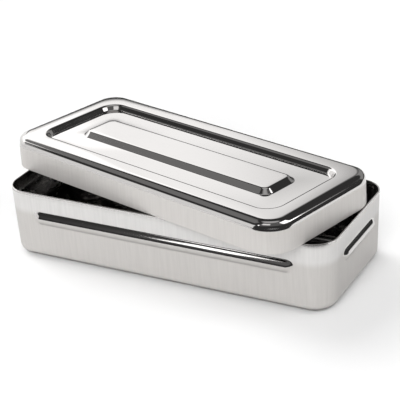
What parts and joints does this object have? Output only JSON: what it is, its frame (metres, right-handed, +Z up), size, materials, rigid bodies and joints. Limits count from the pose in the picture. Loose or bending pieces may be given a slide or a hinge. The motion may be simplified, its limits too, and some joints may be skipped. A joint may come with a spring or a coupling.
{
  "type": "instrument tray with lid",
  "caption": "Long shallow sheet-steel instrument tray with ribbed walls, and its skirted lift-off lid with a sunken ring, lying askew on the rim.",
  "frame": {"origin": "centre of the tray's underside, on the surface it stands on", "axes": "+X along the tray's length, +Y across it towards the back wall, +Z up"},
  "size_m": [0.2137, 0.1294, 0.0595],
  "materials": {
    "tray_steel": "satin walls, polished ribs and edges",
    "lid_steel": "polished top, satin skirt"
  },
  "bodies": {
    "tray": {"tray": "tray_steel"},
    "lid": {"lid": "lid_steel"}
  },
  "joints": [
    {"name": "lid_lift", "type": "slide", "parent": "tray", "child": "lid", "axis": [0, 0, 1], "range_m": [0, 0.08]}
  ]
}
